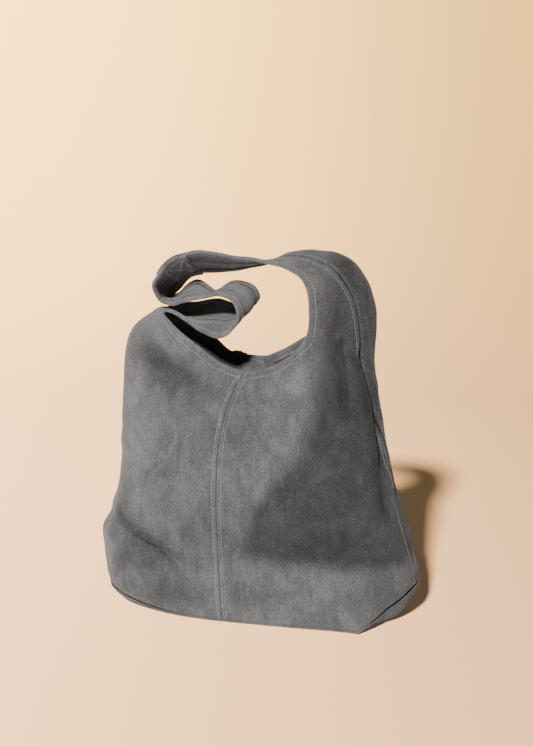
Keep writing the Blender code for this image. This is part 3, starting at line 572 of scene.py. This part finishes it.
def inner_depth(skin):
    """Depth of the inner face: the suede, and a second layer at hems and seam allowances."""
    hem = HEM_LAYER * layer_end(skin.hem, HEM_WIDTH)
    allowance = SEAM_LAYER * layer_end(np.minimum(skin.centre, skin.side), SEAM_WIDTH)
    depth = SUEDE + np.maximum(hem, allowance)
    depth -= turned_edge(skin.hem, HEM_ROUND)
    depth -= STITCH_DIP * bell(skin.hem - HEM_STITCH, DIP_WIDTH)
    return depth


def join_lift(places):
    """How far the right strap end stands off the left one that it overlaps."""
    start = JOIN_END + TOUCH_GAP * 10
    return (SUEDE + TOUCH_GAP) * (1 - smoothstep(start, start + JOIN_FADE, places))


def edge_wear_and_shade(skin, cells):
    """Wear and painted shade on the outer and the inner face: paler where worn beside edges; darker in the
    seams, partly dirt and partly painted shade; and inside, painted shadow just past the turned hem's edge.
    """
    hem, centre, side = skin.hem[cells], skin.centre[cells], skin.side[cells]
    worn_and_shaded = np.maximum.reduce([bell(distance - at, width) for distance, (at, width) in
                              ((hem, WORN_HEM), (centre, WORN_SEAM), (side, WORN_SEAM))])
    worn_and_shaded = worn_and_shaded - DARK_STRENGTH * (bell(centre, SEAM_DIRT_AND_SHADE) + bell(side, SEAM_DIRT_AND_SHADE))
    turned = bell(hem - WORN_TURN[0], WORN_TURN[1]) - DARK_STRENGTH * bell(hem - HEM_STEP_SHADOW[0], HEM_STEP_SHADOW[1])
    return worn_and_shaded, worn_and_shaded + TURN_STRENGTH * turned


class Panel:
    """One of the four suede panels: its outer and inner faces as grids."""

    def __init__(self, skin, height, crease_shade, is_front, is_right):
        self.name = ("front_" if is_front else "back_") + ("right" if is_right else "left")
        self.is_front = is_front
        self.is_right = is_right
        places = skin.places
        rows = np.flatnonzero(places >= JOIN_START if is_right else places <= JOIN_END)
        columns = np.arange(skin.points.shape[1])
        cells = np.ix_(rows, columns[:skin.half] if is_front else columns[skin.half - 1:])
        points = skin.points[cells]
        normals = skin.normals[cells]
        rise = height[cells] + (join_lift(places[rows])[:, None] if is_right else 0.0)
        self.outer = points + normals * (rise - seam_profile(skin)[cells])[:, :, None]
        self.inner = points + normals * (rise - inner_depth(skin)[cells])[:, :, None]
        self.step_back()
        self.outer_wear, self.inner_wear_and_shade = edge_wear_and_shade(skin, cells)
        self.crease_shade = crease_shade[cells]

    def step_back(self):
        """Moves the edge columns off the seam lines, so that neighbours don't touch."""
        for grid in (self.outer, self.inner):
            for column, inward in ((0, 1), (-1, -2)):
                away = grid[:, inward] - grid[:, column]
                away /= np.maximum(np.linalg.norm(away, axis=1, keepdims=True), 1e-12)
                grid[:, column] += away * TOUCH_GAP / 2


def inner_columns(count):
    """The columns that the inner face keeps."""
    near = len(NEAR_EDGE)
    seam = count - len(NEAR_SEAM)
    return [*range(near), *range(near, seam, INNER_EVERY), *range(seam, count)]


def panel_mesh(panel):
    """A closed mesh from the panel's two faces."""
    rows, columns = panel.outer.shape[:2]
    kept = inner_columns(columns)
    if not panel.is_front:
        kept = [columns - 1 - c for c in reversed(kept)]
    verts = [*panel.outer.reshape(-1, 3).tolist(), *panel.inner[:, kept].reshape(-1, 3).tolist()]
    outer = np.arange(rows * columns).reshape(rows, columns)
    inner = outer.size + np.arange(rows * len(kept)).reshape(rows, len(kept))
    first, last = (np.stack([outer[:, column], inner[:, column]], axis=1) for column in (0, -1))
    faces = [*grid_faces(outer), *grid_faces(inner, True), *grid_faces(first, True), *grid_faces(last)]
    for k in range(len(kept) - 1):
        between = slice(kept[k], kept[k + 1] + 1)
        faces.append([*outer[0, between].tolist(), int(inner[0, k + 1]), int(inner[0, k])])
        faces.append([*outer[-1, between][::-1].tolist(), int(inner[-1, k]), int(inner[-1, k + 1])])
    wear = np.concatenate([panel.outer_wear.ravel(), panel.inner_wear_and_shade[:, kept].ravel()])
    crease_shade = np.concatenate([panel.crease_shade.ravel(), panel.crease_shade[:, kept].ravel()])
    return verts, faces, wear, crease_shade


def new_object(name, verts, faces, material, smooth_angle=50):
    mesh = bpy.data.meshes.new(name)
    mesh.from_pydata(verts, [], faces)
    mesh.materials.append(material)
    mesh.shade_smooth()
    mesh.set_sharp_from_angle(angle=math.radians(smooth_angle))
    obj = bpy.data.objects.new(name, mesh)
    bpy.context.scene.collection.objects.link(obj)
    return obj


def nap_and_light_tone(places):
    """How light the suede is: 1 on most of the bag, darker or paler where the nap is brushed the other way,
    with painted shade and painted highlight where light falls away from or onto the bag's shape.
    """
    x, y, z = places.T
    past_ridge = x - np.interp(z, RIDGE_Z, RIDGE_X)
    shade = smoothstep(*NAP_AND_PAINTED_SHADE_EDGE, past_ridge) * smoothstep(*NAP_AND_PAINTED_SHADE_FOOT, z)
    tone = 1 - NAP_AND_PAINTED_SHADE * shade * (1 - .5 * smoothstep(0, .05, y))
    for centre, reach, change in NAP_AND_LIGHT_PATCHES:
        offset = (places - np.array(centre)) / np.array(reach)
        tone += change * np.exp(-(offset * offset).sum(axis=1))
    return tone


def keep_rest(obj, wear=0.0, crease_shade=0.0):
    """Stores each point's place at rest, which the grain follows, the edge wear with its painted seam shade,
    and the nap's tone with its painted shade and highlight and the painted shade in the folds.
    """
    mesh = obj.data
    places = np.empty(len(mesh.vertices) * 3, np.float32)
    mesh.vertices.foreach_get("co", places)
    rest = mesh.attributes.new("rest", "FLOAT_VECTOR", "POINT")
    rest.data.foreach_set("vector", places)
    # the tone: nap with its painted shade and highlight, darkened by the painted shade in the folds
    tone = nap_and_light_tone(places.reshape(-1, 3)) * np.maximum(1 - crease_shade, CREASE_SHADE_TONE)
    for name, values in (("wear", wear + np.zeros(len(mesh.vertices))), ("nap_and_painted_light", tone)):
        mesh.attributes.new(name, "FLOAT", "POINT").data.foreach_set("value", values.astype(np.float32))


def make_panels(skin, height, crease_shade, material):
    panels = {}
    for is_front in (True, False):
        for is_right in (False, True):
            panel = Panel(skin, height, crease_shade, is_front, is_right)
            verts, faces, wear, crease_shade_here = panel_mesh(panel)
            obj = new_object("suede_" + panel.name, verts, faces, material)
            keep_rest(obj, wear, crease_shade_here)
            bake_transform(obj)
            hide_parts(panel.name + "_body", panel.name + "_strap")
            panels[panel.name] = panel
    return panels


def add_base_flange(skin, verts, faces):
    """The base's seam allowance, turned up inside the panels all round."""
    inside = skin.points - skin.normals * FLANGE_DEPTH
    further = skin.points - skin.normals * (FLANGE_DEPTH + FLANGE_THICKNESS)
    rings = []
    for grid, row in ((inside, 0), (inside, FLANGE_ROWS), (further, FLANGE_ROWS), (further, 0)):
        ring = np.concatenate([grid[row], grid[-1 - row][::-1][1:-1]])
        ring[:, 2] = np.maximum(ring[:, 2], SUEDE + TOUCH_GAP)
        rings.append(range(len(verts), len(verts) + len(ring)))
        verts.extend(map(tuple, ring.tolist()))
    faces.extend(tube_faces([*rings, rings[0]]))


def make_base(skin, material):
    """The base: a flat middle whose rim climbs to the base seam all round."""
    loop = np.concatenate([skin.points[0], skin.points[-1][::-1][1:-1]])
    middle = np.array([(loop[:, 0].max() + loop[:, 0].min()) / 2, 0.0])
    rim = np.maximum(loop[:, 2] - SUEDE - TOUCH_GAP, 0) * RIM_DROP
    verts = []
    rings = []

    def add_ring(share, thickness, step_in):
        flat = middle + (loop[:, :2] - middle) * (1 - RIM_WIDTH * share) * (1 - step_in)
        rings.append(range(len(verts), len(verts) + len(loop)))
        verts.extend((x, y, z + thickness) for (x, y), z in zip(flat, rim * (1 - share) ** RIM_POWER))

    for share in RIM_SHARES:
        add_ring(share, 0, 0)
    for share in reversed(RIM_SHARES):
        add_ring(share, SUEDE, TOP_STEP_IN if share <= RIM_SHARES[1] else 0)
    lower, upper = rings[:len(RIM_SHARES)], rings[len(RIM_SHARES):]
    faces = [*tube_faces(lower), *tube_faces(upper), *tube_faces([upper[-1], lower[0]]),
             tuple(lower[-1]), tuple(reversed(upper[0]))]
    add_base_flange(skin, verts, faces)
    obj = new_object("suede_base", verts, faces, material)
    keep_rest(obj)
    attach(obj, "bag")
    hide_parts("base_panel")


# ---------------- stitches
def resample(points, step):
    """The rows at even steps along the line through their first three numbers."""
    lengths = lengths_along(points[:, :3])
    marks = np.linspace(0, lengths[-1], max(round(lengths[-1] / step), 1) + 1)
    return points_at(marks, lengths, points)


class Face:
    """One face of a panel, for laying stitches on it."""

    def __init__(self, grid, flip):
        numbers = np.arange(grid[:, :, 0].size).reshape(grid.shape[:2])
        verts = [Vector(p) for p in grid.reshape(-1, 3).tolist()]
        self.tree = BVHTree.FromPolygons(verts, grid_faces(numbers, flip))

    def nearest(self, points):
        """The face's places nearest to the points, and its normals there."""
        return [self.tree.find_nearest(Vector(p))[:2] for p in points]


def add_stitches(verts, faces, laid, radius):
    """One row of stitches along laid points: short bowed tubes whose ends sink into the suede."""
    places = np.array([p for p, _ in laid])
    normals = np.array([n for _, n in laid])
    run = lengths_along(places)
    turns = [2 * math.pi * q / STITCH_SIDES for q in range(STITCH_SIDES)]
    for s in range(int(run[-1] / STITCH_PITCH)):
        start = s * STITCH_PITCH + (STITCH_PITCH - STITCH_LENGTH) / 2
        rings = []
        for share, lift, swell in STITCH_PROFILE:
            mark = start + share * STITCH_LENGTH
            up = unit(points_at(mark, run, normals))
            step = points_at(mark + 1e-4, run, places) - points_at(mark - 1e-4, run, places)
            across = np.cross(step / max(np.linalg.norm(step), 1e-12), up)
            centre = points_at(mark, run, places) + up * radius * lift
            rings.append(range(len(verts), len(verts) + STITCH_SIDES))
            for turn in turns:
                offset = (across * math.cos(turn) + up * math.sin(turn)) * radius * swell
                verts.append(tuple(centre + offset))
        faces.extend([*tube_faces(rings, True), tuple(reversed(rings[0])), tuple(rings[-1])])


def stitch_object(name, rows, material, replaced, radius):
    verts = []
    faces = []
    for laid in rows:
        add_stitches(verts, faces, laid, radius)
    obj = new_object(name, verts, faces, material)
    keep_rest(obj)
    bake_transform(obj)
    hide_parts(*replaced)


def edge_runs(skin, panel):
    """The panel's hem, centre seam and side seam: their column and their first and last place."""
    edge = 0 if panel.is_front else skin.points.shape[1] - 1
    seam = skin.half - 1
    if panel.is_right:
        mouth = skin.stations[LAST_MOUTH_SECTION]
        end = skin.stations[-1]
        return ((edge, JOIN_END + .001, mouth - .001), (edge, mouth + .009, end - .002),
                (seam, JOIN_END + .004, end - .003))
    mouth = skin.stations[MOUTH_SECTION]
    return ((edge, mouth + .001, JOIN_END - .002), (edge, .002, mouth - .009),
            (seam, .003, JOIN_START - .004))


def edge_line(skin, panel, column, low, high):
    """Points along one edge of a panel, and the way into the panel from each."""
    rows = np.flatnonzero((skin.places >= low) & (skin.places <= high))
    into = INWARD_COLUMNS if panel.is_front else -INWARD_COLUMNS
    if column == skin.half - 1:
        into = -into
    line = skin.points[rows, column]
    inward = skin.points[rows, column + into] - line
    heading = unit(np.gradient(line, axis=0))
    inward = unit(inward - (inward * heading).sum(axis=1, keepdims=True) * heading)
    both = resample(np.concatenate([line, inward], axis=1), LINE_STEP)
    return both[:, :3], unit(both[:, 3:])


def make_stitches(skin, panels, material):
    """Topstitching along every panel's hem and centre seam, and along the front ones' side seams."""
    for name, panel in panels.items():
        face, side = name.split("_")
        outer = Face(panel.outer, False)
        inner = Face(panel.inner, True)
        lines = [edge_line(skin, panel, *run) for run in edge_runs(skin, panel)]
        insets = (HEM_STITCH, SEAM_STITCH, SEAM_STITCH)
        hem, centre, side_seam = (line + inward * inset for (line, inward), inset in zip(lines, insets))
        stitch_object("stitches_hem_" + name, [outer.nearest(hem), inner.nearest(hem)], material,
                      [f"{face}_mouth_thread_{side}", f"{face}_strap_thread_{side}"], STITCH_RADIUS)
        stitch_object("stitches_centre_" + name, [outer.nearest(centre)], material,
                      [f"{face}_centre_thread_{side}"], SEAM_STITCH_RADIUS)
        if panel.is_front:
            stitch_object("stitches_side_" + name, [outer.nearest(side_seam)], material,
                          [f"{face}_side_thread_{side}"], SEAM_STITCH_RADIUS)


def make_join_stitches(skin, panels, material):
    """The crossed box of stitches that holds the two strap ends together, on the inner face."""
    low = JOIN_START + JOIN_BOX_END
    high = JOIN_END - JOIN_BOX_END
    whole = np.concatenate([panels["front_left"].inner, panels["back_left"].inner[:, 1:]], axis=1)
    inner = Face(whole, True)
    shares = np.linspace(0, 1, 30)[:, None]

    def spot(place, share):
        row = skin.points[skin.row_at(place)]
        run = lengths_along(row)
        return points_at(share * run[-1], run, row)

    rows = []
    for inset in JOIN_BOX_INSETS:
        ends = (low + inset * (high - low), high - inset * (high - low))
        sides = (JOIN_BOX_SIDES[0] + inset, JOIN_BOX_SIDES[1] - inset)
        corners = [spot(ends[i], sides[j]) for i, j in ((0, 0), (0, 1), (1, 1), (1, 0))]
        for a, b in ((0, 1), (1, 2), (2, 3), (3, 0), (0, 2), (1, 3)):
            rows.append(inner.nearest(corners[a] + (corners[b] - corners[a]) * shares))
    stitch_object("stitches_join", rows, material, ["strap_join_thread"], JOIN_STITCH_RADIUS)


# ---------------- materials
def node_tree(name):
    material = bpy.data.materials.new(name)
    material.use_nodes = True
    tree = material.node_tree
    return material, tree, tree.nodes["Principled BSDF"]


def set_inputs(node, values):
    for name, value in values.items():
        node.inputs[name].default_value = value


def maths(tree, operation, first, second):
    node = tree.nodes.new("ShaderNodeMath")
    node.operation = operation
    for socket, value in zip(node.inputs, (first, second)):
        if isinstance(value, (int, float)):
            socket.default_value = value
        else:
            tree.links.new(value, socket)
    return node.outputs[0]


def noise(tree, vector, scale, detail, roughness, distortion=0.0):
    node = tree.nodes.new("ShaderNodeTexNoise")
    set_inputs(node, {"Scale": scale, "Detail": detail, "Roughness": roughness, "Distortion": distortion})
    tree.links.new(vector, node.inputs["Vector"])
    return node.outputs["Fac"]


def spread(tree, value, low, high, to_low, to_high):
    """Maps a range to another one, with soft ends."""
    node = tree.nodes.new("ShaderNodeMapRange")
    node.interpolation_type = "SMOOTHSTEP"
    for socket, number in zip(node.inputs[1:5], (low, high, to_low, to_high)):
        socket.default_value = number
    tree.links.new(value, node.inputs[0])
    return node.outputs[0]


def stretched(tree, vector, scale):
    node = tree.nodes.new("ShaderNodeMapping")
    set_inputs(node, {"Scale": scale, "Rotation": (0.3, 0.5, 0.4)})
    tree.links.new(vector, node.inputs["Vector"])
    return node.outputs[0]


def attribute(tree, name, output="Fac"):
    node = tree.nodes.new("ShaderNodeAttribute")
    node.attribute_name = name
    return node.outputs[output]


def object_place(tree):
    return tree.nodes.new("ShaderNodeTexCoord").outputs["Object"]


def link_colour(tree, target, levels):
    """Joins three channels and links them to a colour input."""
    base = tree.nodes.new("ShaderNodeCombineColor")
    for socket, level in zip(base.inputs, levels):
        tree.links.new(level, socket)
    tree.links.new(base.outputs[0], target)


def tinted(tree, tone, colour):
    return [maths(tree, "MULTIPLY", tone, level) for level in colour]


def link_bump(tree, shader, height, strength, distance):
    bump = tree.nodes.new("ShaderNodeBump")
    set_inputs(bump, {"Strength": strength, "Distance": distance})
    tree.links.new(height, bump.inputs["Height"])
    tree.links.new(bump.outputs[0], shader.inputs["Normal"])


SUEDE_COLOUR = (.118, .1165, .1175)
# how strongly the wear, with its painted shade in seams and past hems, changes the suede's tone
WEAR_AND_SHADE_STRENGTH = .30
# The suede's layers: stretch of the noise; its scale, detail, roughness and distortion; the stretch of
# its values that is used and the tones that it becomes.
SUEDE_LAYERS = [
    (None, (11, 3, .5, .6), (.34, .66, .86, 1.13)),             # clouds
    ((1, 1, .6), (30, 5, .60, 1.2), (.36, .64, .86, 1.14)),     # patches
    ((1, 1, .14), (190, 4, .6, .5), (.30, .70, .92, 1.08)),     # brushed streaks
    (None, (560, 3, .75), (.32, .68, .70, 1.33)),               # flecks
    (None, (1500, 2, .6), (.30, .70, .64, 1.40)),               # grain
]


def suede_material(name, is_skin):
    """Grey suede: mottled nap, brushed streaks and a speckled grain; on the skin, the wear and the nap's
    tone vary it too, and both carry painted shade, the nap's tone also painted highlight.
    """
    material, tree, shader = node_tree(name)
    place = attribute(tree, "rest", "Vector") if is_skin else object_place(tree)
    tone = 1.0
    if is_skin:
        uneven = spread(tree, noise(tree, place, 90, 3, .5), .3, .7, .3, 1)
        worn_and_shaded = maths(tree, "MULTIPLY", attribute(tree, "wear"), uneven)
        tone = maths(tree, "ADD", maths(tree, "MULTIPLY", worn_and_shaded, WEAR_AND_SHADE_STRENGTH), attribute(tree, "nap_and_painted_light"))
    for stretch, kind, tones in SUEDE_LAYERS:
        vector = stretched(tree, place, stretch) if stretch else place
        tone = maths(tree, "MULTIPLY", tone, spread(tree, noise(tree, vector, *kind), *tones))
    link_colour(tree, shader.inputs["Base Color"], tinted(tree, tone, SUEDE_COLOUR))
    set_inputs(shader, {"Roughness": 0.95, "Diffuse Roughness": 1.0, "Specular IOR Level": 0.10,
                        "Sheen Weight": 0.12, "Sheen Roughness": 0.5, "Sheen Tint": (.85, .88, .92, 1)})
    fibre = maths(tree, "ADD", noise(tree, place, 900, 4, .7),
                  maths(tree, "MULTIPLY", noise(tree, place, 260, 3, .6), 1.8))
    link_bump(tree, shader, fibre, 0.9, 0.0008)
    return material


def plain_material(name, colour, roughness, grain_scale, grain_depth, metallic=0.0, spread_by=0.12):
    """A finish with a fine noise in its colour and bump."""
    material, tree, shader = node_tree(name)
    grain = noise(tree, object_place(tree), grain_scale, 3, .6)
    tone = spread(tree, grain, .3, .7, 1 - spread_by, 1 + spread_by)
    link_colour(tree, shader.inputs["Base Color"], tinted(tree, tone, colour))
    set_inputs(shader, {"Roughness": roughness, "Metallic": metallic})
    link_bump(tree, shader, grain, 0.5, grain_depth)
    return material


# ---------------- stage
FLOOR_COLOUR = (.88, .76, .62)
BACKDROP_PAINTED_SHADE = (.80, .82, .46)     # how much darker and yellower the backdrop is painted than the floor: painted shade graded towards the back
FALLOFF_SLANT = 0.29              # painted light falloff: the floor darkens to the right, along a line that slants this much
# painted light falloff: the floor's tone at its left and at its right end
FLOOR_PAINTED_FALLOFF = (1.24, .44)
STAGE_FLAT = 1.3
STAGE_CURVE = 2.5
STAGE_WALL = 0.5
STAGE_SIDES = 96
STAGE_STEPS = 12
SUN_HEADING = (-.015, .85, -.53)
SUN_ANGLE = math.radians(4.5)
KEY = (4.6, (1, .99, .975))
FLOOR_KEY = (17.0, (1, .52, .15))
SKY_ABOVE = (.20, .155, .105)
SKY_BELOW = (1.14, 1.12, 1.12)
CAMERA_AZIMUTH = math.radians(16)
CAMERA_ELEVATION = math.radians(12)
CAMERA_DISTANCE = 2.25
CAMERA_TARGET = Vector((0.0108, 0, 0.3139))


def add_aimed(name, data, heading):
    """An object that looks or shines along a heading."""
    obj = bpy.data.objects.new(name, data)
    obj.rotation_mode = "QUATERNION"
    obj.rotation_quaternion = heading.to_track_quat("-Z", "Y")
    bpy.context.scene.collection.objects.link(obj)
    return obj


def add_sun(name, strength, colour):
    sun = bpy.data.lights.new(name, "SUN")
    sun.energy = strength
    sun.angle = SUN_ANGLE
    sun.color = colour
    return add_aimed(name, sun, Vector(SUN_HEADING))


def make_floor():
    """A pale floor that sweeps up into a backdrop all round, with painted light falloff: paler to the left,
    darker to the right and towards the back.
    """
    profile = [(STAGE_FLAT, 0)]
    for k in range(1, STAGE_STEPS + 1):
        angle = k / STAGE_STEPS * math.pi / 2
        profile.append((STAGE_FLAT + STAGE_CURVE * math.sin(angle), STAGE_CURVE * (1 - math.cos(angle))))
    profile.append((STAGE_FLAT + STAGE_CURVE, STAGE_CURVE + STAGE_WALL))
    turns = [2 * math.pi * i / STAGE_SIDES for i in range(STAGE_SIDES)]
    verts = [(r * math.cos(turn), r * math.sin(turn), z) for r, z in profile for turn in turns]
    rings = [range(k * STAGE_SIDES, (k + 1) * STAGE_SIDES) for k in range(len(profile))]
    faces = [tuple(rings[0]), *tube_faces(rings)]
    material, tree, shader = node_tree("floor_with_painted_falloff")
    split = tree.nodes.new("ShaderNodeSeparateXYZ")
    tree.links.new(object_place(tree), split.inputs[0])
    # painted light falloff across the floor and towards the backdrop
    across = maths(tree, "ADD", split.outputs["X"], maths(tree, "MULTIPLY", split.outputs["Y"], FALLOFF_SLANT))
    tone = spread(tree, across, -.9, .9, *FLOOR_PAINTED_FALLOFF)
    depths = [spread(tree, split.outputs["Y"], .2, 3.2, level, level * far)
              for level, far in zip(FLOOR_COLOUR, BACKDROP_PAINTED_SHADE)]
    link_colour(tree, shader.inputs["Base Color"], tinted(tree, tone, depths))
    set_inputs(shader, {"Roughness": 0.9, "Specular IOR Level": 0.1})
    floor = new_object("floor", verts, faces, material, 60)
    floor.location.z = -0.0002
    floor.visible_shadow = False
    floor.visible_diffuse = False
    return floor


def make_stage():
    """The floor, a sun from the front, a second one for the floor alone, and light from below."""
    floor = make_floor()
    add_sun("key", *KEY)
    lit = bpy.data.collections.new("lit_by_floor_key")
    lit.objects.link(floor)
    add_sun("floor_key", *FLOOR_KEY).light_linking.receiver_collection = lit

    world = bpy.data.worlds.new("sky")
    bpy.context.scene.world = world
    world.use_nodes = True
    tree = world.node_tree
    split = tree.nodes.new("ShaderNodeSeparateXYZ")
    tree.links.new(tree.nodes.new("ShaderNodeTexCoord").outputs["Generated"], split.inputs[0])
    light = [spread(tree, split.outputs["Z"], -.15, .10, *levels) for levels in zip(SKY_BELOW, SKY_ABOVE)]
    link_colour(tree, tree.nodes["Background"].inputs["Color"], light)


def make_camera():
    data = bpy.data.cameras.new("camera")
    data.lens = 85
    data.sensor_width = 36
    back = Vector((math.sin(CAMERA_AZIMUTH) * math.cos(CAMERA_ELEVATION),
                   -math.cos(CAMERA_AZIMUTH) * math.cos(CAMERA_ELEVATION), math.sin(CAMERA_ELEVATION)))
    camera = add_aimed("camera", data, -back)
    camera.location = CAMERA_TARGET + back * CAMERA_DISTANCE
    bpy.context.scene.camera = camera


def dress_cad_nodes(hanger_suede, lining, tape, metal):
    """Finishes for the nodes that keep their CAD shape."""
    finishes = [(lining, "pocket_back", "pocket_front_lower", "pocket_front_upper"),
                (tape, "zip_tape_upper", "zip_tape_lower", "zip_teeth"),
                (metal, "zip_slider", "zip_pull", "zip_stop_left", "zip_stop_right"),
                (hanger_suede, "pocket_hanger")]
    for material, *names in finishes:
        for name in names:
            for material_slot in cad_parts[name].material_slots:
                material_slot.material = material


make_camera()
make_stage()
suede = suede_material("grey_suede", True)
hanger_suede = suede_material("hanger_suede", False)
thread = plain_material("pale_thread", (.33, .33, .325), 0.7, 1400, .0002)
lining = plain_material("cotton_lining", (.10, .10, .103), 0.9, 900, .0002)
tape = plain_material("zip_tape_weave", (.05, .05, .052), 0.85, 1200, .0002)
metal = plain_material("brushed_steel", (.48, .47, .45), 0.32, 500, .00004, 1.0, .05)
skin = Skin()
height, crease_shade = fold_height(skin)
panels = make_panels(skin, height, crease_shade, suede)
make_base(skin, suede)
make_stitches(skin, panels, thread)
make_join_stitches(skin, panels, thread)
dress_cad_nodes(hanger_suede, lining, tape, metal)
